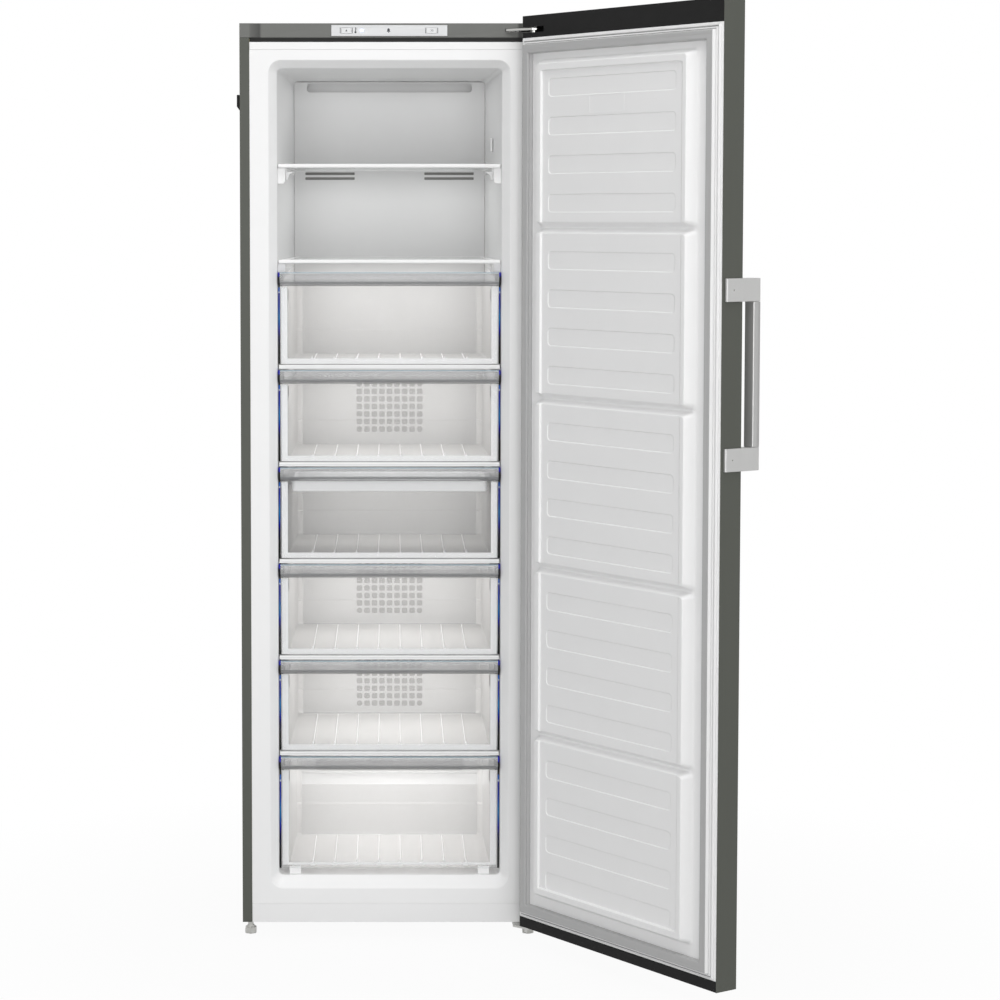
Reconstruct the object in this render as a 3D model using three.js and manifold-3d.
// An upright no-frost freezer, standing with its door open: a foamed steel cabinet, two shelves,
// six drawers on glass shelves, a cooling unit behind a duct cover, and a door with a bar handle.
// Millimetres, +Z up. The front faces -Y and the door is hinged at +X.
import * as THREE from 'three';
import Module from 'manifold-3d';
import { mergeVertices } from 'three/addons/utils/BufferGeometryUtils.js';

const wasm = await Module();
wasm.setup();

// ---------------------------------------------------------------- driving dimensions
const touchGap = 0.3; // between pieces that rest on each other
const runGap = 1.2; // between pieces that slide or turn

// Cabinet, from the floor up
const standHeight = 34.5; // floor to the underside of the cabinet
const bottomRailHeight = 38.5;
const bottomFlange = 53.5; // bottom rail to the floor of the mouth
const topFlange = 36; // ceiling of the mouth to the top rail
const topRailHeight = 15;
const shadowGap = 9; // between the top rail and the top panel
const topPanelHeight = 28;
const cabinetWidth = 595;
const cabinetDepth = 590;
const skin = 1; // painted steel sheet
const sideFlange = 19.3; // steel seen from the front, each side
const rearFlange = 15;
const railDepth = 24;
const railSheet = 1.2;
const sideWall = 73.3; // outside of the cabinet to the mouth
const rearWall = 65; // back of the liner to the back of the cabinet

// Liner and its mouth
const linerWall = 2.5;
const lipSide = 16;
const lipTop = 15;
const lipBottom = 22;
const lipDepth = 22;
const mouthCorner = 9;
const lipCorner = 16; // added to the corners at the front of the lip
const sideDraft = 20.4; // how much each side wall closes in towards the back
const ceilingDraft = 5;
const floorDraft = 3;
const ledgeHeight = 8;
const ledgeDepth = 19.7; // how far a shelf ledge stands out from the mouth's side
const bracketStand = 15.2; // the same for the brackets under the two shelves
const bracketHeight = 46;
const bracketDepth = 24;
const ledgeStart = 30; // behind the drawer fronts

// Shelves and drawers, front view
const drawerCount = 6; // the lowest one is the deep one
const frontClearance = 1.3; // drawer front to the side of the mouth
const frontHeight = 184;
const deepFrontHeight = 230.5;
const frontSetback = 26; // front plane of the cabinet to the drawer fronts
const frontWall = 3;
const frontReturn = 12; // how far the sides of a front fold back
const gripHeight = 27.5;
const gripReach = 9;
const drawerFoot = 13.2; // lowest drawer front above the floor of the mouth
const glassThickness = 8.5;
const glassClearance = 2;
const shelfThickness = 7.6;
const shelfAboveDrawers = 17.6; // top of the first drawer to the lower shelf
const shelfSpacing = 191;
const topSpace = 189.4; // upper shelf to the ceiling of the mouth
const shelfClearance = 2.2; // shelf to the side of the mouth
const shelfRearCorner = 22;

// Drawer bins
const binWall = 2;
const binClearance = 17.2; // bin to the side of the mouth
const binRearClearance = 1.8; // bin's rear corner to the narrowest part of the liner
const binRimDrop = 29.5; // drawer front's top edge to the rim of its bin
const binFrame = 10.5; // white frame round the bin's front
const binFrameThickness = 2.2;
const binRearGap = 14; // behind a pushed-in drawer
const floorRibs = 8;
const floorRibPitch = 44.6;
const floorRibWidth = 4;
const floorRibHeight = 1.6;
const binFoot = { inset: 4, width: 23, depth: 12, runner: 4 }; // under the deep bin
const trayHeight = 24;
const trayWall = 1.8;
const trayDepth = 190;
const trayInset = 0.7; // edge of the tray to the outside of the bin it rides on

// Compressor bay
const baySpace = 192; // front to back
const bayHeight = 165;
const bayFoam = 44; // insulation over and in front of the bay
const plateSheet = 1.2;
const trayLip = 12;
const gland = { radius: 9, length: 26, inset: 65.5, height: 20 };
const compressor = { width: 190, depth: 146, height: 108, aside: 30, mount: 9, plate: 8 };

// Duct cover and cooling unit
const ductDepth = 55; // duct cover to the back of the liner
const ductWall = 2.5;
const outlet = { inset: 28.3, height: 19, below: 3.5 };
const slots = { width: 106.5, height: 5.6, pitch: 10.4, inset: 24, below: 194 };
const grid = { columns: 9, rows: 7, pitch: 16.4, cell: 12.4 };
const gridTops = [645, 1042, 1246.5]; // below the top of the duct cover
const returnSlot = { inset: 44, height: 26, above: 6 };
const evaporator = { inset: 38, height: 200, depth: 42, above: 70, fins: 11, fin: 1.2, rows: 4 };
const heater = { radius: 3.5, inset: 53, spread: 12, clip: 8, drop: 26 };
const fan = { radius: 52, hub: 16, blades: 5, depth: 16, above: 560, shaft: 3, motor: 24, arm: 60 };

// Feet and rollers
const footWidth = 26; // across the corners of the hexagon
const footHeight = 17;
const studRadius = 5;
const footInset = 14;
const footSetback = 50;
const studLength = 42;
const rollerRadius = 12;
const rollerWidth = 14;
const rollerInset = 48;
const rollerSetback = 32; // from the back of the cabinet

// Door
const doorThickness = 51.2;
const doorGap = 14.5; // door's inner face to the cabinet when shut
const doorRise = 11; // door above the top panel
const doorDrop = -1.4; // door's lower edge below the underside of the cabinet
const capTopHeight = 43;
const capBottomHeight = 21;
const hingeInset = 11.8; // hinge axis to the side of the door
const hingeBehind = 20; // hinge axis behind the door's inner face
const restAngle = 124.8; // how far the door stands open
const doorLinerWall = 3;
const gasketWidth = 28;
const gasketHeight = 14;
const gasketMargin = 7; // gasket to the edge of the door
const gasketTopMargin = 4;
const bulges = 5;
const bulgeHeight = 311.8;
const bulgeTrim = 5.5; // the lowest and highest bulge stop short to clear the mouth
const bulgePitch = 334.2;
const bulgeRise = 20;
const bulgeCorner = 8;
const bulgeDraft = 12.5;
const bulgeEndDraft = 8;
const bulgeLeft = 71.5; // from the hinge side of the door
const bulgeRight = 81.5; // from the free side of the door
const bulgeBottom = 79.4; // above the door's lower edge
const bars = { count: 4, height: 34.5, pitch: 74.5, left: 32.5, right: 32.9, bottom: 19, depth: 2 };

// Handle
const handleLength = 352;
const handleCentre = 1139; // above the door's lower edge
const bracketPlate = 6;
const bracketTall = 42.5;
const bracketInset = 6; // from the door's inner face
const barDepth = 17;
const barWidth = 25;
const barReach = 20; // finger gap between the door and the bar
const edgeRound = 1.5;

// Hinges
const hingePin = 4; // radius
const hingePlate = 4;
const pinClearance = 0.5;

// Control panel
const strip = { width: 230, height: 21.4, proud: 0.8, wall: 2, board: 20 };
const fascia = { wall: 5, relief: 2, endBlock: 18.5, slope: 12 };
const button = { width: 20, height: 11, centres: [-85.3, 83.9], travel: 1, proud: 0.7 };

// Small pieces
const bumper = { height: 31, depth: 16, reach: 5.8, below: 113, setback: 4 };
const sensor = { width: 18, height: 28, reach: 6, depth: 240, below: 132 };
const condenser = { radius: 2.5, runs: 9, pitch: 130, inset: 77, bend: 30, bottom: 380 };

// ---------------------------------------------------------------- derived levels
const half = cabinetWidth / 2;
const underside = standHeight;
const mouthFloor = underside + bottomRailHeight + bottomFlange;
const drawerPitch = frontHeight + glassThickness + glassClearance * 2 - touchGap;
const deepFrontTop = mouthFloor + drawerFoot + deepFrontHeight;
const firstFrontTop = deepFrontTop + drawerPitch * (drawerCount - 1);
const lowerShelfBottom = firstFrontTop + shelfAboveDrawers;
const upperShelfBottom = lowerShelfBottom + shelfSpacing;
const mouthCeiling = upperShelfBottom + shelfThickness + topSpace;
const railTopLow = mouthCeiling + topFlange;
const railTopHigh = railTopLow + topRailHeight;
const panelLow = railTopHigh + shadowGap;
const cabinetTop = panelLow + topPanelHeight;
const mouthHalf = half - sideWall;
const flangeHalf = half - sideFlange - touchGap; // white faces between the steel flanges
const frontHalf = mouthHalf - frontClearance; // half widths of the pieces in the mouth
const shelfHalf = mouthHalf - shelfClearance;
const ledgeHalf = mouthHalf - ledgeDepth;
const binHalfWidth = mouthHalf - binClearance;
const binHalfWidthRear = mouthHalf - sideDraft - binRearClearance;
const linerDepth = cabinetDepth - rearWall;
const ductFront = linerDepth - ductDepth;
const bayFront = cabinetDepth - baySpace;
const bayTop = underside + bayHeight;
const stepFront = bayFront - bayFoam; // the liner steps over the bay
const stepTop = bayTop + bayFoam + plateSheet;

// ---------------------------------------------------------------- materials
const finish = (color, roughness, metalness = 0, opacity = 1) =>
  new THREE.MeshStandardMaterial({
    color, roughness, metalness, opacity, transparent: opacity < 1,
  });
const paintedSteel = () => finish('#5f6059', 0.45, 0.35);
const topPlastic = () => finish('#77776e', 0.5);
const whitePlastic = () => finish('#e9eaea', 0.45);
const whiteSteel = () => finish('#eff0f0', 0.4, 0.1);
const ductPlastic = () => finish('#d4d5d5', 0.55);
const clearPlastic = () => finish('#dfe6ea', 0.12, 0, 0.35);
const frostedPlastic = () => finish('#e4e2df', 0.4, 0, 0.85);
const shelfGlass = () => finish('#d5e2e2', 0.08, 0, 0.5);
const blackPlastic = () => finish('#252525', 0.5);
const gasketRubber = () => finish('#b9b9b9', 0.7);
const brushedAluminium = () => finish('#b9b9b8', 0.35, 0.9);
const zincSteel = () => finish('#c9c9c6', 0.3, 0.9);
const foam = () => finish('#e8dfb6', 0.95);
const compressorPaint = () => finish('#1f2022', 0.4, 0.3);
const copper = () => finish('#b2714a', 0.35, 1);
const aluminiumFin = () => finish('#bfc4c7', 0.4, 0.9);
const silverPlastic = () => finish('#dcdddc', 0.3, 0.2);
const circuitBoard = () => finish('#2f5c3a', 0.6);
const rubber = () => finish('#2b2b2b', 0.8);
const footPlastic = () => finish('#dcdcd8', 0.4);

// ---------------------------------------------------------------- shape helpers
// A solid from a closed surface
function solid(geometry) {
  const bare = geometry.index ? geometry.toNonIndexed() : geometry.clone();
  bare.deleteAttribute('normal');
  bare.deleteAttribute('uv');
  const merged = mergeVertices(bare, 1e-4);
  return new wasm.Manifold(new wasm.Mesh({
    numProp: 3,
    vertProperties: new Float32Array(merged.attributes.position.array),
    triVerts: new Uint32Array(merged.index.array),
  }));
}

// A box between two corners, given as [low, high] pairs in any order
function box(x, y, z) {
  const size = [x, y, z].map(([a, b]) => Math.abs(b - a));
  const middle = [x, y, z].map(([a, b]) => (a + b) / 2);
  return solid(new THREE.BoxGeometry(...size).translate(...middle));
}

// Where an outline's two coordinates and its thickness point, for a prism along X, Y or Z
const prismFrames = {
  x: [new THREE.Vector3(0, 1, 0), new THREE.Vector3(0, 0, 1), new THREE.Vector3(1, 0, 0)],
  y: [new THREE.Vector3(1, 0, 0), new THREE.Vector3(0, 0, 1), new THREE.Vector3(0, -1, 0)],
  z: [new THREE.Vector3(1, 0, 0), new THREE.Vector3(0, 1, 0), new THREE.Vector3(0, 0, 1)],
};

// A prism along one axis from an outline of [a, b] points
function prism(axis, outline, low, high) {
  const shape = new THREE.Shape(outline.map(([a, b]) => new THREE.Vector2(a, b)));
  const geometry = new THREE.ExtrudeGeometry(shape, { depth: high - low, bevelEnabled: false });
  geometry.applyMatrix4(new THREE.Matrix4().makeBasis(...prismFrames[axis]));
  const starts = { x: [low, 0, 0], y: [0, high, 0], z: [0, 0, low] };
  return solid(geometry.translate(...starts[axis]));
}

// Outline of a rectangle with round corners
function roundedOutline([a0, a1], [b0, b1], radius, steps = 3) {
  const points = [];
  const corners = [[a1, b1, 0], [a0, b1, 1], [a0, b0, 2], [a1, b0, 3]];
  for (const [a, b, quarter] of corners) {
    const centreA = a - Math.sign(a - (a0 + a1) / 2) * radius;
    const centreB = b - Math.sign(b - (b0 + b1) / 2) * radius;
    for (let step = 0; step <= steps; step++) {
      const angle = ((quarter + step / steps) * Math.PI) / 2;
      points.push([centreA + radius * Math.cos(angle), centreB + radius * Math.sin(angle)]);
    }
  }
  return points;
}

// A cylinder along an axis through a point given by its other two coordinates
function cylinder(axis, radius, at, low, high, sides = 16) {
  const geometry = new THREE.CylinderGeometry(radius, radius, high - low, sides);
  const middle = (low + high) / 2;
  if (axis === 'x') geometry.rotateZ(-Math.PI / 2).translate(middle, at[0], at[1]);
  if (axis === 'y') geometry.translate(at[0], middle, at[1]);
  if (axis === 'z') geometry.rotateX(Math.PI / 2).translate(at[0], at[1], middle);
  return solid(geometry);
}

// A closed solid through convex loops of equal length, given as arrays of [x, y, z]
function loft(loops) {
  const count = loops[0].length;
  const index = [];
  for (let ring = 0; ring + 1 < loops.length; ring++) {
    for (let i = 0; i < count; i++) {
      const a = ring * count + i;
      const b = ring * count + ((i + 1) % count);
      index.push(a, b, b + count, a, b + count, a + count);
    }
  }
  const last = (loops.length - 1) * count;
  for (let i = 1; i + 1 < count; i++) {
    index.push(0, i + 1, i, last, last + i, last + i + 1);
  }
  const corner = (i) => new THREE.Vector3(...loops[Math.floor(i / count)][i % count]);
  let volume = 0;
  for (let i = 0; i < index.length; i += 3) {
    volume += corner(index[i]).dot(corner(index[i + 1]).cross(corner(index[i + 2])));
  }
  if (volume < 0) index.reverse();
  const geometry = new THREE.BufferGeometry();
  geometry.setAttribute('position', new THREE.Float32BufferAttribute(loops.flat(2), 3));
  geometry.setIndex(index);
  return solid(geometry);
}

// A polyline whose corners are rounded, taking its steps at its own stations
class BentPath extends THREE.Curve {
  constructor(corners, radius, bendSteps = 3) {
    super();
    const at = corners.map((corner) => new THREE.Vector3(...corner));
    this.stations = [at[0]];
    for (let i = 1; i + 1 < at.length; i++) {
      const from = at[i].clone().lerp(at[i - 1], radius / at[i].distanceTo(at[i - 1]));
      const to = at[i].clone().lerp(at[i + 1], radius / at[i].distanceTo(at[i + 1]));
      const bend = new THREE.QuadraticBezierCurve3(from, at[i], to);
      this.stations.push(...bend.getPoints(bendSteps));
    }
    this.stations.push(at.at(-1));
  }

  getPoint(t) {
    const place = t * (this.stations.length - 1);
    const i = Math.min(Math.floor(place), this.stations.length - 2);
    return this.stations[i].clone().lerp(this.stations[i + 1], place - i);
  }

  getPointAt(t) {
    return this.getPoint(t);
  }

  getTangentAt(t) {
    const place = Math.round(t * (this.stations.length - 1));
    const before = this.stations[Math.max(place - 1, 0)];
    const after = this.stations[Math.min(place + 1, this.stations.length - 1)];
    return after.clone().sub(before).normalize();
  }
}

// A round bar that follows a polyline with rounded corners
function bentBar(corners, radius, bend, sides = 8) {
  const path = new BentPath(corners, bend);
  const section = new THREE.Shape();
  section.absarc(0, 0, radius, 0, Math.PI * 2);
  return solid(new THREE.ExtrudeGeometry(section, {
    extrudePath: path, steps: path.stations.length - 1, curveSegments: sides / 2, bevelEnabled: false,
  }));
}

const join = (...pieces) => pieces.reduce((whole, piece) => whole.add(piece));
const cut = (whole, ...tools) => tools.reduce((rest, tool) => rest.subtract(tool), whole);
const range = (count) => Array.from({ length: count }, (_, i) => i);

// Adds a solid to a group as a named mesh
function place(group, name, shape, material) {
  const { vertProperties, triVerts } = shape.getMesh();
  const geometry = new THREE.BufferGeometry();
  geometry.setAttribute('position', new THREE.Float32BufferAttribute(vertProperties, 3));
  geometry.setIndex(new THREE.Uint32BufferAttribute(triVerts, 1));
  geometry.computeVertexNormals();
  const mesh = new THREE.Mesh(geometry, material);
  mesh.name = name;
  group.add(mesh);
  return mesh;
}

const freezer = new THREE.Group();

// ---------------------------------------------------------------- liner space
// The storage space, grown outwards by a wall: used for the liner and for the foam round it
function storageSpace(wall) {
  const loop = (y, side, top, bottom, corner) => {
    const depth = Math.max(0, (y - lipDepth) / (linerDepth - lipDepth));
    const wide = mouthHalf - sideDraft * depth + side;
    const low = mouthFloor + floorDraft * depth - bottom;
    const high = mouthCeiling - ceilingDraft * depth + top;
    return roundedOutline([-wide, wide], [low, high], mouthCorner + corner).map(([x, z]) => [x, y, z]);
  };
  const loops = [
    loop(wall > 0 ? wall / 2 : -lipDepth, lipSide, lipTop, lipBottom, lipCorner),
    loop(wall, lipSide, lipTop, lipBottom, lipCorner),
    loop(lipDepth, wall, wall, wall, wall),
    loop(linerDepth + wall, wall, wall, wall, wall),
  ];
  const step = box(
    [-cabinetWidth, cabinetWidth],
    [stepFront + wall, cabinetDepth * 2],
    [0, stepTop - wall],
  );
  return cut(loft(loops), step);
}

const storage = storageSpace(0);
const clearStorage = storageSpace(-touchGap);
const linerOutside = storageSpace(linerWall);

// Tops of what the ledges carry: the glass shelves between the drawers, then the two shelves
const frontTops = range(drawerCount).map((i) => firstFrontTop - drawerPitch * i);
const frontHeights = frontTops.map((_, i) => (i === drawerCount - 1 ? deepFrontHeight : frontHeight));
const glassBottoms = frontTops.slice(1).map((top) => top + glassClearance);
const shelfBottoms = [upperShelfBottom, lowerShelfBottom];

function liner() {
  const flange = box([-flangeHalf, flangeHalf], [0, linerWall], [
    underside + bottomRailHeight + touchGap, railTopLow - touchGap,
  ]);
  const shell = cut(join(flange, linerOutside), storage);
  const ledges = [];
  for (const side of [-1, 1]) {
    for (const bottom of [...glassBottoms, ...shelfBottoms]) {
      const top = bottom - touchGap;
      ledges.push(box(
        [side * ledgeHalf, side * half], [frontSetback + ledgeStart, ductFront - binRearGap],
        [top - ledgeHeight, top],
      ));
    }
    for (const bottom of shelfBottoms) {
      const top = bottom - touchGap;
      const front = frontSetback + frontReturn + runGap;
      ledges.push(box(
        [side * (mouthHalf - bracketStand), side * half], [front, front + bracketDepth],
        [top - bracketHeight, top],
      ));
    }
  }
  return join(shell, ...ledges.map((ledge) => ledge.intersect(linerOutside)));
}

place(freezer, 'inner_liner', liner(), whitePlastic());

// ---------------------------------------------------------------- cabinet casing
for (const [name, side] of [['side_panel_left', -1], ['side_panel_right', 1]]) {
  const profile = [
    [half, 0], [half, cabinetDepth], [half - rearFlange, cabinetDepth],
    [half - rearFlange, cabinetDepth - skin], [half - skin, cabinetDepth - skin],
    [half - skin, skin], [half - sideFlange, skin], [half - sideFlange, 0],
  ].map(([x, y]) => [side * x, y]);
  place(freezer, name, prism('z', profile, underside, panelLow - touchGap), paintedSteel());
}

const insideHalf = half - skin - touchGap;
const rearPanelBack = cabinetDepth - skin - touchGap;
const rearPanelFront = rearPanelBack - skin;
const foamBack = rearPanelFront - touchGap;
const condenserHalf = half - condenser.inset;
place(freezer, 'rear_panel', box(
  [-insideHalf, insideHalf], [rearPanelFront, rearPanelBack],
  [bayTop + plateSheet + touchGap, panelLow - touchGap],
), whiteSteel());

// A channel open towards the back, between the two steel flanges
function rail(low, high) {
  const profile = [
    [0, low], [railDepth, low], [railDepth, low + railSheet], [railSheet, low + railSheet],
    [railSheet, high - railSheet], [railDepth, high - railSheet], [railDepth, high], [0, high],
  ];
  return prism('x', profile, -flangeHalf, flangeHalf);
}
place(freezer, 'front_rail_top', rail(railTopLow, railTopHigh), whiteSteel());
place(freezer, 'front_rail_bottom', rail(underside, underside + bottomRailHeight), whiteSteel());

const footPlaces = [-1, 1].map((side) => [side * (half - footInset), footSetback]);
const studHole = studRadius + touchGap;

// Sheet under the foam, up the front of the bay and back over it
function basePlate() {
  const front = railDepth + touchGap;
  const profile = [
    [front, underside], [bayFront, underside], [bayFront, bayTop], [foamBack, bayTop],
    [foamBack, bayTop + plateSheet], [bayFront - plateSheet, bayTop + plateSheet],
    [bayFront - plateSheet, underside + plateSheet], [front, underside + plateSheet],
  ];
  const holes = footPlaces.map((at) => cylinder('z', studHole, at, 0, standHeight * 2));
  return cut(prism('x', profile, -insideHalf, insideHalf), ...holes);
}
place(freezer, 'base_plate', basePlate(), whiteSteel());

// Insulation between the casing and the liner
function cabinetFoam() {
  const plateTop = underside + plateSheet + touchGap;
  const frontGap = railDepth + touchGap;
  const block = box([-insideHalf, insideHalf], [linerWall + touchGap, foamBack], [
    plateTop, panelLow - touchGap,
  ]);
  const bay = box([-half, half], [bayFront - plateSheet - touchGap, cabinetDepth], [
    0, bayTop + plateSheet + touchGap,
  ]);
  const railSpace = flangeHalf + touchGap;
  const topRailCut = box([-railSpace, railSpace], [0, frontGap], [railTopLow - touchGap, cabinetTop]);
  const bottomRailCut = box([-railSpace, railSpace], [0, frontGap], [
    0, underside + bottomRailHeight + touchGap,
  ]);
  const condenserRecess = box(
    [-condenserHalf - condenser.bend, condenserHalf + condenser.bend],
    [foamBack - condenser.radius * 2 - touchGap, cabinetDepth],
    [condenser.bottom - condenser.bend, condenser.bottom + condenser.pitch * condenser.runs],
  );
  const pockets = footPlaces.map((at) =>
    cylinder('z', studRadius + runGap, at, 0, footHeight + studLength + runGap));
  return cut(block, storageSpace(linerWall + touchGap), bay, topRailCut, bottomRailCut,
    condenserRecess, ...pockets);
}
place(freezer, 'cabinet_foam', cabinetFoam(), foam());

// Condenser pipe: level runs joined by bends, flat against the rear panel
function condenserTube() {
  const y = rearPanelFront - touchGap - condenser.radius;
  const corners = [];
  for (const run of range(condenser.runs)) {
    const z = condenser.bottom + run * condenser.pitch;
    const side = run % 2 ? 1 : -1;
    corners.push([side * condenserHalf, y, z], [-side * condenserHalf, y, z]);
  }
  return bentBar(corners, condenser.radius, condenser.bend);
}
place(freezer, 'condenser_tube', condenserTube(), copper());

// ---------------------------------------------------------------- top panel and controls
const stripCentre = panelLow + topPanelHeight / 2 - 0.3;
const stripLow = stripCentre - strip.height / 2;
const stripHigh = stripCentre + strip.height / 2;
const stripFront = fascia.relief - strip.proud;
const hingeX = half - hingeInset;
const hingeY = -doorGap - hingeBehind;
const armHigh = cabinetTop - 12;
const armLow = armHigh - hingePlate;
const armRoot = { inner: 38, outer: 66 }; // hinge arm's sides, from the side of the cabinet
const armHead = 10; // radius of the arm round its pin
const hingeFoot = { front: 20, back: 80 };

function topPanel() {
  const shell = cut(
    box([-half, half], [0, cabinetDepth], [panelLow, cabinetTop]),
    box([-half + 3, half - 3], [fascia.wall, cabinetDepth - 3], [0, cabinetTop - 3]),
  );
  const relief = prism('z', [
    [-half + fascia.endBlock, -1], [half - fascia.endBlock, -1], [half - fascia.endBlock, 0],
    [half - fascia.endBlock - fascia.slope, fascia.relief],
    [-half + fascia.endBlock + fascia.slope, fascia.relief], [-half + fascia.endBlock, 0],
  ], 0, cabinetTop + 1);
  const skirt = prism('x', [
    [fascia.wall - 1, panelLow], [fascia.wall - 1, panelLow + 1.6], [16, panelLow + 1.6],
    [16, railTopHigh + touchGap], [14, railTopHigh + touchGap], [14, panelLow],
  ], -flangeHalf, flangeHalf);
  const stripOpening = box(
    [-strip.width / 2 - touchGap, strip.width / 2 + touchGap], [-1, fascia.wall + 1],
    [stripLow - touchGap, stripHigh + touchGap],
  );
  const armSlot = box(
    [half - armRoot.outer - runGap, half - fascia.endBlock], [-1, fascia.wall + 1],
    [armLow - runGap, armHigh + runGap],
  );
  return cut(join(cut(shell, relief), skirt), stripOpening, armSlot);
}
place(freezer, 'top_panel', topPanel(), topPlastic());

const buttonHoles = button.centres.map((x) => [
  [x - button.width / 2, x + button.width / 2],
  [stripCentre - button.height / 2, stripCentre + button.height / 2],
]);
const grow = ([low, high], by) => [low - by, high + by];

// Control strip: a plate with two button openings and a flange behind the fascia
function controlPanel() {
  const plate = box([-strip.width / 2, strip.width / 2], [stripFront, fascia.wall + touchGap + 0.5], [
    stripLow, stripHigh,
  ]);
  const flange = box(
    [-strip.width / 2 - 4, strip.width / 2 + 4],
    [fascia.wall + touchGap, fascia.wall + touchGap + strip.wall],
    [panelLow + 2, cabinetTop - 3 - touchGap],
  );
  const holes = buttonHoles.map(([x, z]) => box(grow(x, touchGap), [-1, 20], grow(z, touchGap)));
  return cut(join(plate, flange), ...holes);
}
place(freezer, 'control_panel', controlPanel(), silverPlastic());

// Circuit board with two push switches and two stand-off posts behind the control strip
const boardFront = fascia.wall + strip.wall + 6;
function controlBoard() {
  const boardHalf = strip.width / 2 - strip.board / 2;
  const pieces = [box([-boardHalf, boardHalf], [boardFront, boardFront + 1.6], [
    stripLow + 1, stripHigh - 1,
  ])];
  for (const x of button.centres) {
    pieces.push(box([x - 3, x + 3], [boardFront - 3, boardFront + 1], [
      stripCentre - 3, stripCentre + 3,
    ]));
  }
  for (const x of [-strip.width / 5, 0, strip.width / 5]) {
    pieces.push(cylinder('y', 3, [x, stripCentre],
      fascia.wall + strip.wall + touchGap * 2, boardFront + 1, 10));
  }
  return join(...pieces);
}
place(freezer, 'control_board', controlBoard(), circuitBoard());

// Each button: a cap in its opening, a retaining collar behind and a stem on its switch
['button_set', 'button_quick'].forEach((name, i) => {
  const [x, z] = buttonHoles[i];
  const collarFront = fascia.wall + touchGap + strip.wall + touchGap;
  const shape = join(
    box(x, [stripFront - button.proud, collarFront + 1], z),
    box(grow(x, 1.2), [collarFront, collarFront + 1.2], grow(z, 1.2)),
    cylinder('y', 2, [button.centres[i], stripCentre],
      collarFront + 1, boardFront - 3 - touchGap - button.travel, 10),
  );
  place(freezer, name, shape, silverPlastic());
});

// Upper hinge: a foot on the cabinet, a riser, an arm out to the axis and a pin pointing down
function upperHinge() {
  const [inner, outer] = [half - armRoot.inner, half - armRoot.outer];
  const arm = prism('z', [
    [outer, hingeFoot.front + 3], [inner, hingeFoot.front + 3], [inner, 2],
    [hingeX + armHead * 0.9, hingeY + armHead * 0.5], [hingeX + armHead * 0.9, hingeY - armHead * 0.4],
    [hingeX + armHead * 0.4, hingeY - armHead * 0.9], [hingeX - armHead * 0.5, hingeY - armHead * 0.9],
    [outer, -6],
  ], armLow, armHigh);
  const low = panelLow;
  return join(
    arm,
    box([outer, inner], [hingeFoot.front, hingeFoot.front + 3], [low, armHigh]),
    box([outer, inner], [hingeFoot.front, hingeFoot.back], [low, low + hingePlate]),
    cylinder('z', hingePin * 1.6, [hingeX, hingeY], armLow - 5, armLow + 1),
    cylinder('z', hingePin, [hingeX, hingeY], armLow - 14, armLow + 1),
  );
}
place(freezer, 'upper_hinge', upperHinge(), zincSteel());

// Lower hinge: a plate under the cabinet with a pin pointing up and a tapered door stop below
function lowerHinge() {
  const high = underside - touchGap;
  const low = high - hingePlate;
  const [inner, outer] = [half - 31, half - 48];
  const plate = prism('z', [
    [outer, 60], [inner, 60], [inner, 4], [hingeX + 8, hingeY + 8], [hingeX + 8, hingeY - 8],
    [hingeX - 8, hingeY - 10], [outer, -22],
  ], low, high);
  const stop = solid(new THREE.CylinderGeometry(4.6, 2.6, 12, 12)
    .rotateX(Math.PI / 2).translate(half - 21.5, hingeY + 12, low - 5));
  return join(plate, stop, cylinder('z', hingePin, [hingeX, hingeY], high - 1, high + 14));
}
place(freezer, 'lower_hinge', lowerHinge(), zincSteel());

// Plastic bumper on the left side, tapered at its lower end
place(freezer, 'side_bumper', prism('y', [
  [-half - touchGap, panelLow - bumper.below], [-half - bumper.reach, panelLow - bumper.below],
  [-half - bumper.reach, panelLow - bumper.below - bumper.height * 0.75],
  [-half - touchGap, panelLow - bumper.below - bumper.height],
], bumper.setback, bumper.setback + bumper.depth), blackPlastic());

// ---------------------------------------------------------------- feet, rollers and bay
['foot_left', 'foot_right'].forEach((name, i) => {
  const at = footPlaces[i];
  const hexagon = cylinder('z', footWidth / 2, at, 0, footHeight, 6);
  place(freezer, name, join(
    hexagon, cylinder('z', studRadius, at, footHeight - 1, footHeight + studLength, 12),
  ), footPlastic());
});

const rollerPlaces = [-1, 1].map((side) => side * (half - rollerInset));
const rollerY = cabinetDepth - rollerSetback;
const tabGap = rollerWidth / 2 + runGap;
const glandX = gland.inset - half;
const axleRadius = 3;

// Tray that carries the compressor, with a raised rear lip and a pair of tabs for each roller
function baseTray() {
  const [front, back] = [bayFront + touchGap, rearPanelBack];
  const lipTopZ = underside + gland.height + gland.radius + 6;
  const profile = [
    [front, underside + trayLip], [front, underside], [back, underside], [back, lipTopZ],
    [back - plateSheet, lipTopZ], [back - plateSheet, underside + plateSheet],
    [front + plateSheet, underside + plateSheet], [front + plateSheet, underside + trayLip],
  ];
  const pieces = [prism('x', profile, -insideHalf, insideHalf)];
  const holes = [cylinder('y', gland.radius - 2, [glandX, underside + gland.height],
    back - 20, back + 20)];
  for (const x of rollerPlaces) {
    for (const side of [-1, 1]) {
      const near = x + side * tabGap;
      pieces.push(box([near, near + side * 2], [rollerY - 9, rollerY + 9], [
        rollerRadius - axleRadius * 2, underside + 1,
      ]));
    }
    holes.push(cylinder('x', axleRadius + touchGap, [rollerY, rollerRadius],
      x - tabGap * 2, x + tabGap * 2, 12));
  }
  return cut(join(...pieces), ...holes);
}
place(freezer, 'base_tray', baseTray(), zincSteel());

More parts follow.
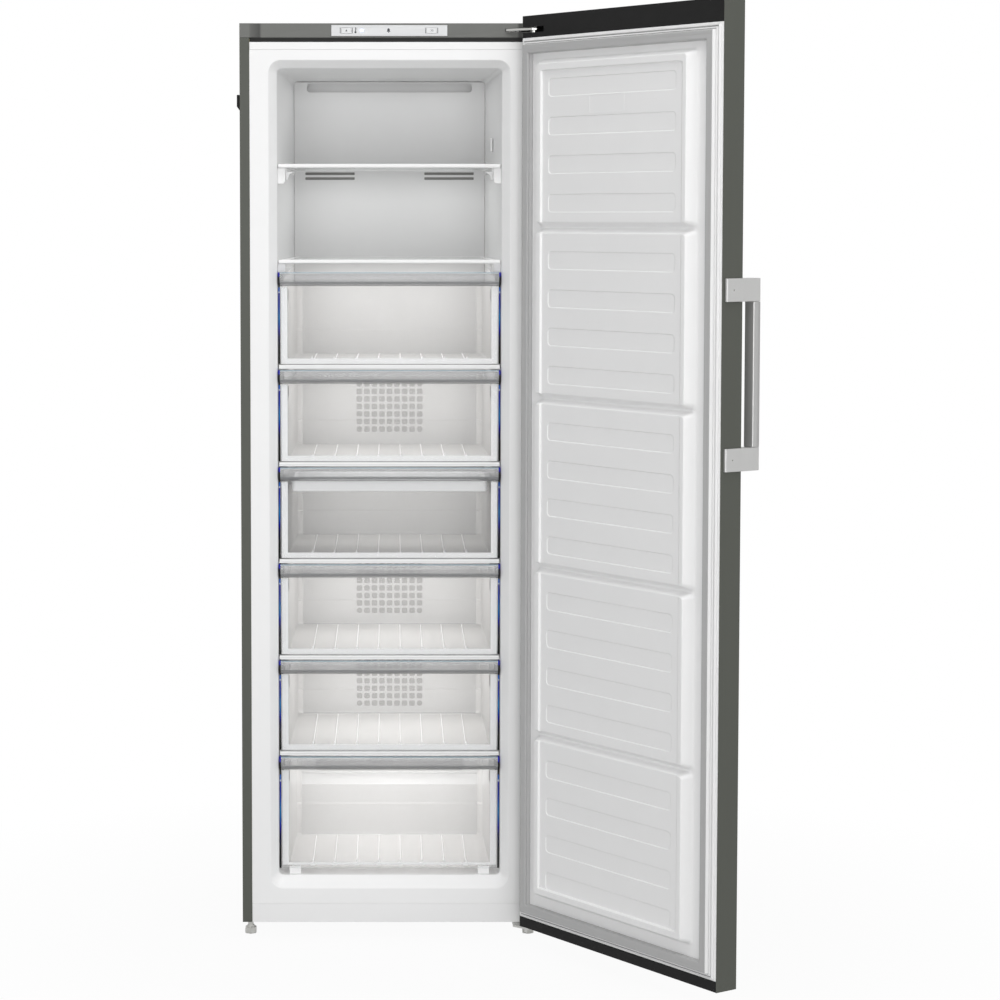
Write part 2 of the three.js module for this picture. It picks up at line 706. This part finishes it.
['roller_left', 'roller_right'].forEach((name, i) => {
  const x = rollerPlaces[i];
  place(freezer, name, join(
    cylinder('x', rollerRadius, [rollerY, rollerRadius], x - rollerWidth / 2, x + rollerWidth / 2, 24),
    cylinder('x', axleRadius, [rollerY, rollerRadius], x - tabGap - 2.5, x + tabGap + 2.5, 12),
  ), blackPlastic());
});

// Gland in the rear lip: a flange outside and a tapered sleeve
function cordGland() {
  const z = underside + gland.height;
  const back = rearPanelBack;
  const sleeve = cylinder('y', gland.radius - 2 - touchGap, [glandX, z],
    back - plateSheet - 6, back + 2, 16);
  const inner = cylinder('y', gland.radius, [glandX, z],
    back - plateSheet - 6 - touchGap, back - plateSheet - touchGap, 16);
  const bore = cylinder('y', 4, [glandX, z], back - gland.length, back + gland.length, 12);
  return cut(join(sleeve, inner), bore);
}
place(freezer, 'cord_gland', cordGland(), rubber());

// Compressor: an oval welded shell on a foot plate with four rubber mounts
const compressorY = bayFront + baySpace / 2;
const compressorFoot = underside + plateSheet + touchGap;
const compressorTop = compressorFoot + compressor.mount + 3 + compressor.height;
function compressorShell() {
  const { width, depth, height, aside, mount, plate: plateThickness } = compressor;
  const r = depth / 2;
  const profile = [
    [0, 0], [0.55, 0.02], [0.86, 0.14], [0.96, 0.34], [0.96, 0.5], [1, 0.5], [1, 0.56],
    [0.96, 0.56], [0.93, 0.74], [0.78, 0.91], [0.45, 0.99], [0, 1],
  ].map(([across, up]) => new THREE.Vector2(across * r, up * height));
  const shell = solid(new THREE.LatheGeometry(profile, 20).rotateX(Math.PI / 2)
    .scale(width / depth, 1, 1).translate(aside, compressorY, compressorTop - height));
  const plateZ = compressorFoot + mount;
  const plate = box([aside - width * 0.505, aside + width * 0.505],
    [compressorY - depth * 0.425, compressorY + depth * 0.425], [plateZ, plateZ + plateThickness]);
  const mounts = [];
  for (const [sx, sy] of [[-1, -1], [-1, 1], [1, -1], [1, 1]]) {
    mounts.push(cylinder('z', mount, [aside + sx * width * 0.44, compressorY + sy * depth * 0.34],
      compressorFoot, plateZ + 1, 12));
  }
  const terminals = box([aside - width * 0.59, aside - width * 0.37],
    [compressorY - depth * 0.23, compressorY + depth * 0.23],
    [plateZ + height * 0.32, plateZ + height * 0.8]);
  const stub = cylinder('x', 4, [compressorY + depth * 0.2, plateZ + height * 0.55],
    aside + width * 0.32, aside + width * 0.63, 10);
  return join(shell, plate, ...mounts, terminals, stub);
}
place(freezer, 'compressor', compressorShell(), compressorPaint());

// Shallow tray on the compressor, where melt water dries
const dripTray = { width: 150, depth: 120, height: 26, wall: 2 };
function dripTrayShape() {
  const x = [compressor.aside - dripTray.width / 2, compressor.aside + dripTray.width / 2];
  const y = [compressorY - dripTray.depth / 2, compressorY + dripTray.depth / 2];
  const low = compressorTop + touchGap;
  return cut(
    box(x, y, [low, low + dripTray.height]),
    box(grow(x, -dripTray.wall), grow(y, -dripTray.wall), [
      low + dripTray.wall, low + dripTray.height * 2,
    ]),
  );
}
place(freezer, 'drip_tray', dripTrayShape(), blackPlastic());

// ---------------------------------------------------------------- duct cover and cooling unit
const ductLevel = (ductFront - lipDepth) / (linerDepth - lipDepth);
const ductHalf = mouthHalf - sideDraft - touchGap;
const ductPlateHalf = mouthHalf - sideDraft * ductLevel - touchGap;
const ductTop = mouthCeiling - ceilingDraft - touchGap;
const ductBottom = stepTop + touchGap;
const ductBack = linerDepth - touchGap;
const outletHalf = ductPlateHalf - outlet.inset;
const returnHalf = ductPlateHalf - returnSlot.inset;
const slotCentre = ductPlateHalf - slots.inset - slots.width / 2;

function airGrid(top) {
  const cells = [];
  for (const column of range(grid.columns)) {
    for (const row of range(grid.rows)) {
      const x = (column - (grid.columns - 1) / 2) * grid.pitch;
      const z = top - grid.cell / 2 - row * grid.pitch;
      cells.push(box(
        [x - grid.cell / 2, x + grid.cell / 2], [ductFront - 1, ductFront + ductWall + 1],
        [z - grid.cell / 2, z + grid.cell / 2],
      ));
    }
  }
  return cells;
}

function ductCover() {
  const shell = cut(
    box([-ductHalf, ductHalf], [ductFront, ductBack], [ductBottom, ductTop]),
    box([-ductHalf + ductWall, ductHalf - ductWall], [ductFront + ductWall, linerDepth + 1], [
      ductBottom - 1, ductTop - ductWall,
    ]),
  );
  const plate = box([-ductPlateHalf, ductPlateHalf], [ductFront, ductFront + ductWall], [
    ductBottom, ductTop,
  ]);
  const through = [ductFront - 1, ductFront + ductWall + 1];
  const holes = [
    box([-outletHalf, outletHalf], through, [
      ductTop - outlet.below - outlet.height, ductTop - outlet.below,
    ]),
    box([-returnHalf, returnHalf], through, [
      ductBottom + returnSlot.above, ductBottom + returnSlot.above + returnSlot.height,
    ]),
  ];
  for (const side of [-1, 1]) {
    for (const row of range(2)) {
      const z = ductTop - slots.below - row * slots.pitch;
      holes.push(box(
        [side * slotCentre - slots.width / 2, side * slotCentre + slots.width / 2], through,
        [z - slots.height, z],
      ));
    }
  }
  const cells = gridTops.flatMap((below) => airGrid(ductTop - below));
  return cut(join(shell, plate).intersect(clearStorage), ...holes, ...cells);
}
place(freezer, 'duct_cover', ductCover(), ductPlastic());

// Finned evaporator on the back of the liner, with its defrost heater below
const evaporatorLow = ductBottom + evaporator.above;
const coolerBack = ductBack;
function evaporatorBlock() {
  const w = (ductHalf - evaporator.inset) * 2;
  const y = [coolerBack - evaporator.depth, coolerBack];
  const z = [evaporatorLow, evaporatorLow + evaporator.height];
  const fins = range(evaporator.fins).map((i) => {
    const x = -w / 2 + (i * (w - evaporator.fin)) / (evaporator.fins - 1);
    return box([x, x + evaporator.fin], y, z);
  });
  const tubes = range(evaporator.rows).map((i) => {
    const height = z[0] + (i + 0.5) * (evaporator.height / evaporator.rows);
    const depth = coolerBack - evaporator.depth * (i % 2 ? 0.68 : 0.32);
    return cylinder('x', 4, [depth, height], -w / 2 - 8, w / 2 + 8, 6);
  });
  return join(...fins, ...tubes);
}
place(freezer, 'evaporator', evaporatorBlock(), aluminiumFin());

function defrostHeater() {
  const z = evaporatorLow - heater.drop;
  const y = coolerBack - 22;
  const w = ductHalf - heater.inset;
  const { spread, clip } = heater;
  const tube = bentBar([[w, y, z + spread], [-w, y, z + spread], [-w, y, z - spread],
    [w, y, z - spread]], heater.radius, spread * 0.9);
  const clips = [-1, 1].map((side) => box(
    [side * (w - clip * 3), side * (w - clip * 4)], [y - 1, coolerBack],
    [z - spread - clip / 2, z + spread + clip / 2],
  ));
  return join(tube, ...clips);
}
place(freezer, 'defrost_heater', defrostHeater(), aluminiumFin());

// Fan motor on a four-arm bracket, and the impeller on its shaft
const fanZ = ductBottom + fan.above;
const motorFront = coolerBack - fan.motor;
const shaftFront = ductFront + ductWall + 4;
function fanMotor() {
  const arms = [-1, 1].map((side) => box([-fan.arm, fan.arm], [coolerBack - 4, coolerBack], [
    fanZ + side * fan.motor - 4, fanZ + side * fan.motor + 4,
  ]));
  return join(
    cylinder('y', fan.motor, [0, fanZ], motorFront, coolerBack - 1, 20),
    cylinder('y', fan.motor + 6, [0, fanZ], coolerBack - 5, coolerBack, 20),
    cylinder('y', fan.shaft, [0, fanZ], shaftFront, motorFront + 1, 10),
    ...arms,
  );
}
place(freezer, 'fan_motor', fanMotor(), blackPlastic());

function fanImpeller() {
  const back = motorFront - runGap;
  const front = back - fan.depth;
  const hub = cut(
    cylinder('y', fan.hub, [0, fanZ], front, back, 20),
    cylinder('y', fan.shaft + touchGap, [0, fanZ], shaftFront - 1, motorFront, 10),
  );
  const blades = range(fan.blades).map((i) => {
    const turn = (i / fan.blades) * Math.PI * 2;
    const loops = [fan.hub - 3, (fan.hub + fan.radius) / 2, fan.radius].map((radius, station) => {
      const sweep = [0.5, 0.42, 0.36][station];
      return [[-sweep, front + 1], [sweep, back - 2], [sweep, back - 1], [-sweep, front + 2]]
        .map(([angle, y]) => [
          radius * Math.cos(turn + angle), y, fanZ + radius * Math.sin(turn + angle),
        ]);
    });
    return loft(loops);
  });
  return join(hub, ...blades);
}
place(freezer, 'fan_impeller', fanImpeller(), whitePlastic());

// Temperature sensor cover on the right wall of the liner
const sensorWall = mouthHalf - sideDraft * ((sensor.depth - lipDepth) / (linerDepth - lipDepth));
place(freezer, 'sensor_cover', box(
  [sensorWall - sensor.reach, sensorWall - touchGap - 1],
  [sensor.depth, sensor.depth + sensor.width],
  [mouthCeiling - sensor.below - sensor.height, mouthCeiling - sensor.below],
), whitePlastic());

// ---------------------------------------------------------------- shelves
const wallAt = (y) => mouthHalf - (sideDraft * Math.max(0, y - lipDepth)) / (linerDepth - lipDepth);
const shelfFront = frontSetback - 4;
const shelfBack = ductFront - 4;

// Plan of a shelf that follows the tapering walls, with its rear corners cut off
function shelfPlan(halfWidth, clear) {
  const rear = wallAt(shelfBack) - clear;
  const plan = [
    [halfWidth, shelfFront], [halfWidth, shelfFront + 14],
    [rear + 1, shelfBack - shelfRearCorner], [rear - shelfRearCorner, shelfBack],
  ];
  return [...plan, ...plan.map(([x, y]) => [-x, y]).reverse()];
}

shelfBottoms.forEach((low, i) => {
  const high = low + shelfThickness;
  const plan = shelfPlan(shelfHalf, runGap);
  const slab = prism('z', plan, low, high);
  const under = box([-ledgeHalf + 2, ledgeHalf - 2], [shelfFront + 5, shelfBack - 10], [
    low - 1, low + shelfThickness * 0.5,
  ]);
  place(freezer, `shelf_${i + 1}`, cut(slab, under), whitePlastic());
});

glassBottoms.forEach((low, i) => {
  const plan = shelfPlan(shelfHalf, runGap);
  const slab = prism('z', plan, low, low + glassThickness);
  const under = box([-ledgeHalf + 2, ledgeHalf - 2], [shelfFront + 6, shelfBack - 6], [
    low - 1, low + glassThickness - 4,
  ]);
  place(freezer, `glass_shelf_${i + 1}`, cut(slab, under), shelfGlass());
});

// ---------------------------------------------------------------- drawers
const gripFront = frontSetback - gripReach;

// Clear front: a plate with rounded sides folded back and a grip band leaning forward on top
function drawerFront(top, height) {
  const low = top - height;
  const band = top - gripHeight;
  const profile = [
    [frontSetback, low], [frontSetback, band], [gripFront, band + 7], [gripFront, top],
    [gripFront + 12, top], [gripFront + 12, top - frontWall], [gripFront + frontWall, top - frontWall],
    [gripFront + frontWall, band + 8], [frontSetback + frontWall, band + 1],
    [frontSetback + frontWall, low],
  ];
  const w = frontHalf;
  const sides = [-1, 1].map((side) => box([side * (w - frontWall), side * w], [
    frontSetback, frontSetback + frontReturn,
  ], [low, band - 2]));
  return join(prism('x', profile, -w, w), ...sides);
}

// Bin: an open box, open at the front as well, with a frame round that side, ribs on its floor and
// a stepped back wall
function drawerBin(top, low, back, foot) {
  const rim = top - binRimDrop;
  const front = frontSetback + frontWall + touchGap;
  const rear = binHalfWidthRear;
  const plan = (inset) => [
    [-binHalfWidth + inset, front + inset], [binHalfWidth - inset, front + inset],
    [rear - inset, back - inset], [-rear + inset, back - inset],
  ];
  const frameHalf = binHalfWidth + binFrame;
  const frameLow = top - foot;
  const frame = cut(
    box([-frameHalf, frameHalf], [front, front + binFrameThickness], [frameLow, rim]),
    box([-binHalfWidth + binWall, binHalfWidth - binWall], [0, back], [frameLow + binFrame, top]),
  );
  const shell = cut(
    join(prism('z', plan(0), low, rim), frame),
    prism('z', plan(binWall), low + binWall, rim + 1),
    box([-binHalfWidth + binWall, binHalfWidth - binWall], [0, front + binFrameThickness + 1], [
      frameLow + binFrame, top,
    ]),
  );
  const step = box([-rear + 1, rear - 1], [back - binWall - 6, back - 1], [
    low + 1, low + (rim - low) / 3,
  ]);
  const ribs = range(floorRibs).map((i) => {
    const x = (i - (floorRibs - 1) / 2) * floorRibPitch;
    return box([x - floorRibWidth / 2, x + floorRibWidth / 2], [front + 4, back - 20], [
      low + 1, low + binWall + floorRibHeight,
    ]);
  });
  return join(shell, step, ...ribs);
}

// Feet and runners that carry the deep bin on the floor of the liner
function deepBinRunners(low, back) {
  const front = frontSetback + frontWall + touchGap;
  const outer = binHalfWidth - binFoot.inset;
  const inner = outer - binFoot.width;
  return [-1, 1].flatMap((side) => [
    box([side * inner, side * outer], [front + touchGap, front + binFoot.depth], [
      mouthFloor + touchGap * 2, low + 1,
    ]),
    box([side * (inner + 1), side * (inner + 1 + binFoot.runner)],
      [front + binFoot.depth - 1, back - 20], [mouthFloor + floorDraft + touchGap, low + 1]),
  ]);
}

// The deep front's lower corners are cut off, to clear the round corners of the mouth
function lowerCorners(low) {
  const edge = frontHalf + 1;
  return [-1, 1].map((side) => prism('y', [
    [side * edge, low - 1], [side * (edge - 6), low - 1], [side * edge, low + 6],
  ], 0, frontSetback * 2));
}

const drawerGroups = frontTops.map((top, i) => {
  const group = new THREE.Group();
  const deep = i === drawerCount - 1;
  const height = frontHeights[i];
  const back = deep ? stepFront - binRearGap : ductFront - binRearGap;
  const low = deep ? top - height : glassBottoms[i] + glassThickness + touchGap;
  const bin = drawerBin(top, low, back, height);
  const front = drawerFront(top, height);
  place(group, `drawer_${i + 1}_bin`,
    deep ? join(bin, ...deepBinRunners(low, back)) : bin, frostedPlastic());
  place(group, `drawer_${i + 1}_front`, deep ? cut(front, ...lowerCorners(low)) : front, clearPlastic());
  freezer.add(group);
  return group;
});

// Shallow tray that slides on the rims of the third bin
const trayRim = frontTops[2] - binRimDrop + touchGap;
function slidingTray() {
  const front = frontSetback + frontWall + binFrameThickness + 6;
  const back = front + trayDepth;
  const clear = binHalfWidthRear - binWall - runGap;
  const body = cut(
    box([-clear, clear], [front, back], [trayRim + trayWall - trayHeight, trayRim + trayWall]),
    box([-clear + trayWall, clear - trayWall], [front + trayWall, back - trayWall], [
      trayRim - trayHeight + trayWall * 2, trayRim + trayHeight,
    ]),
  );
  const flanges = [-1, 1].map((side) => box(
    [side * (clear - 1), side * (binHalfWidth - trayInset)], [front, back],
    [trayRim, trayRim + trayWall],
  ));
  return join(body, ...flanges);
}
place(drawerGroups[2], 'drawer_3_tray', slidingTray(), whitePlastic());

// ---------------------------------------------------------------- door
// The door is drawn shut, then its group turns about the hinge axis to where it stands open.
const door = new THREE.Group();
door.position.set(hingeX, hingeY, 0);
door.rotation.z = THREE.MathUtils.degToRad(restAngle);
freezer.add(door);

const doorLow = underside - doorDrop;
const doorHigh = cabinetTop + doorRise;
const doorHinge = half; // hinge side of the shut door
const doorFree = -half; // free side of the shut door
const doorInner = -doorGap;
const doorOuter = doorInner - doorThickness;
const capSides = [doorFree + skin + touchGap, doorHinge - skin - touchGap];
const doorSkinBack = doorOuter + skin + touchGap;

function placeOnDoor(name, shape, material) {
  const mesh = place(door, name, shape, material);
  mesh.geometry.translate(-hingeX, -hingeY, 0);
  return mesh;
}

// Room for the upper hinge's arm, at every door angle
const armPocket = box(
  [half - armRoot.outer - runGap, doorHinge + 1],
  [hingeY - armHead - runGap, doorInner + 1],
  [armLow - 5 - runGap, armHigh + runGap],
);

function doorSkin() {
  const profile = [
    [doorFree, doorInner], [doorFree, doorOuter], [doorHinge, doorOuter], [doorHinge, doorInner],
    [doorHinge - skin, doorInner], [doorHinge - skin, doorOuter + skin],
    [doorFree + skin, doorOuter + skin], [doorFree + skin, doorInner],
  ];
  return cut(prism('z', profile, doorLow, doorHigh), armPocket);
}
placeOnDoor('door_skin', doorSkin(), paintedSteel());

const capY = [doorSkinBack, doorInner];
const capTopLow = doorHigh - capTopHeight;
const capBottomHigh = doorLow + capBottomHeight;
placeOnDoor('door_cap_top', cut(
  box(capSides, capY, [capTopLow, doorHigh]), armPocket,
  cylinder('z', hingePin + pinClearance, [hingeX, hingeY], capTopLow - 1, armLow),
), blackPlastic());
placeOnDoor('door_cap_bottom', cut(
  box(capSides, capY, [doorLow, capBottomHigh]),
  cylinder('z', hingePin + pinClearance, [hingeX, hingeY], 0, underside + 16),
), blackPlastic());

// Height range of each bulge's flat top
const bulgeSpans = range(bulges).map((i) => {
  const low = doorLow + bulgeBottom + i * bulgePitch;
  const trims = [i === 0 ? bulgeTrim : 0, i === bulges - 1 ? bulgeTrim : 0];
  return [low + trims[0], low + bulgeHeight - trims[1]];
});
const bulgeFootX = [doorFree + bulgeRight - bulgeDraft, doorHinge - bulgeLeft + bulgeDraft];

// The bulges of the door's liner, grown inwards by a wall
function bulgeForms(shrink) {
  const [to, from] = bulgeFootX;
  return bulgeSpans.map(([lowest, highest]) => {
    const low = lowest - bulgeEndDraft;
    const high = highest + bulgeEndDraft;
    const loop = (y, inset, endInset) => roundedOutline(
      [to + inset, from - inset], [low + endInset, high - endInset], bulgeCorner, 3,
    ).map(([x, z]) => [x, y, z]);
    return loft([
      loop(doorInner - 1, shrink, shrink),
      loop(doorInner + bulgeRise - shrink, bulgeDraft + shrink, bulgeEndDraft + shrink),
    ]);
  });
}

// Openings through the liner's flat sheet, behind each bulge
function bulgeMouths(inset, reach) {
  return bulgeSpans.map(([low, high]) => box(
    grow(bulgeFootX, -inset), [doorInner - doorLinerWall - 1, reach],
    grow([low - bulgeEndDraft, high + bulgeEndDraft], -inset),
  ));
}

function doorLiner() {
  const linerLow = capBottomHigh + touchGap;
  const linerHigh = capTopLow - touchGap;
  const base = box(capSides, [doorInner - doorLinerWall, doorInner], [linerLow, linerHigh]);
  const hollowMouths = bulgeMouths(doorLinerWall, doorInner - 0.5);
  const recesses = [];
  for (const i of range(bulges)) {
    for (const row of range(bars.count)) {
      const low = doorLow + bulgeBottom + i * bulgePitch + bars.bottom + row * bars.pitch;
      recesses.push(prism('y', roundedOutline(
        [doorFree + bulgeRight + bars.right, doorHinge - bulgeLeft - bars.left],
        [low, low + bars.height], 9, 2,
      ), doorInner + bulgeRise - bars.depth, doorInner + bulgeRise + 1));
    }
  }
  const hollows = bulgeForms(doorLinerWall);
  return cut(join(base, ...bulgeForms(0)), ...hollows, ...hollowMouths, ...recesses);
}
placeOnDoor('door_liner', doorLiner(), whitePlastic());

function doorFoam() {
  const base = box(
    capSides, [doorSkinBack, doorInner - doorLinerWall - touchGap],
    [capBottomHigh + touchGap, capTopLow - touchGap],
  );
  const inset = doorLinerWall + touchGap;
  return join(base, ...bulgeMouths(inset, doorInner - 0.5 - touchGap), ...bulgeForms(inset));
}
placeOnDoor('door_foam', doorFoam(), foam());

// Gasket: a frame with a waisted section that seals on the cabinet's front
function doorGasket() {
  const ring = (inset, outset, y) => {
    const x = [doorFree + gasketMargin + outset, doorHinge - gasketMargin - outset];
    const z = [capBottomHigh + gasketTopMargin + outset, capTopLow - gasketTopMargin - outset];
    return cut(box(x, y, z), box(grow(x, -inset), [y[0] - 1, y[1] + 1], grow(z, -inset)));
  };
  const start = doorInner + touchGap;
  return join(
    ring(gasketWidth, 0, [start, start + gasketHeight * 0.45]),
    ring(gasketWidth - 8, 4, [start + gasketHeight * 0.4, start + gasketHeight * 0.7]),
    ring(gasketWidth - 4, 0, [start + gasketHeight * 0.65, doorInner + gasketHeight]),
  );
}
placeOnDoor('door_gasket', doorGasket(), gasketRubber());

// Handle: two brackets that wrap the free edge of the door, and a bar between them
const sideFace = doorFree - touchGap;
const gripOuter = sideFace - bracketPlate;
const barBack = doorOuter - barReach;
const barFront = barBack - barDepth;
const handleLow = doorLow + handleCentre - handleLength / 2;
const handleHigh = handleLow + handleLength;

function handleBracket(low) {
  const high = low + bracketTall;
  const plate = [
    [sideFace, doorInner - bracketInset], [gripOuter + edgeRound, doorInner - bracketInset],
    [gripOuter, doorInner - bracketInset - edgeRound], [gripOuter, barFront + edgeRound],
    [gripOuter + edgeRound, barFront], [gripOuter + barWidth, barFront],
    [gripOuter + barWidth, doorOuter - touchGap], [sideFace, doorOuter - touchGap],
  ];
  return prism('z', plate, low, high);
}
placeOnDoor('handle_bracket_lower', handleBracket(handleLow), brushedAluminium());
placeOnDoor('handle_bracket_upper', handleBracket(handleHigh - bracketTall), brushedAluminium());
placeOnDoor('handle_bar', prism('z', roundedOutline(
  [gripOuter, gripOuter + barWidth], [barFront, barBack], edgeRound, 2,
), handleLow + bracketTall + touchGap, handleHigh - bracketTall - touchGap), brushedAluminium());

// ---------------------------------------------------------------- origin
// The origin is the bottom centre of the whole freezer's box, with the door open.
freezer.updateMatrixWorld(true);
const bounds = new THREE.Box3().setFromObject(freezer, true);
const centre = bounds.getCenter(new THREE.Vector3());
freezer.position.set(-centre.x, -centre.y, -bounds.min.z);

export default freezer;
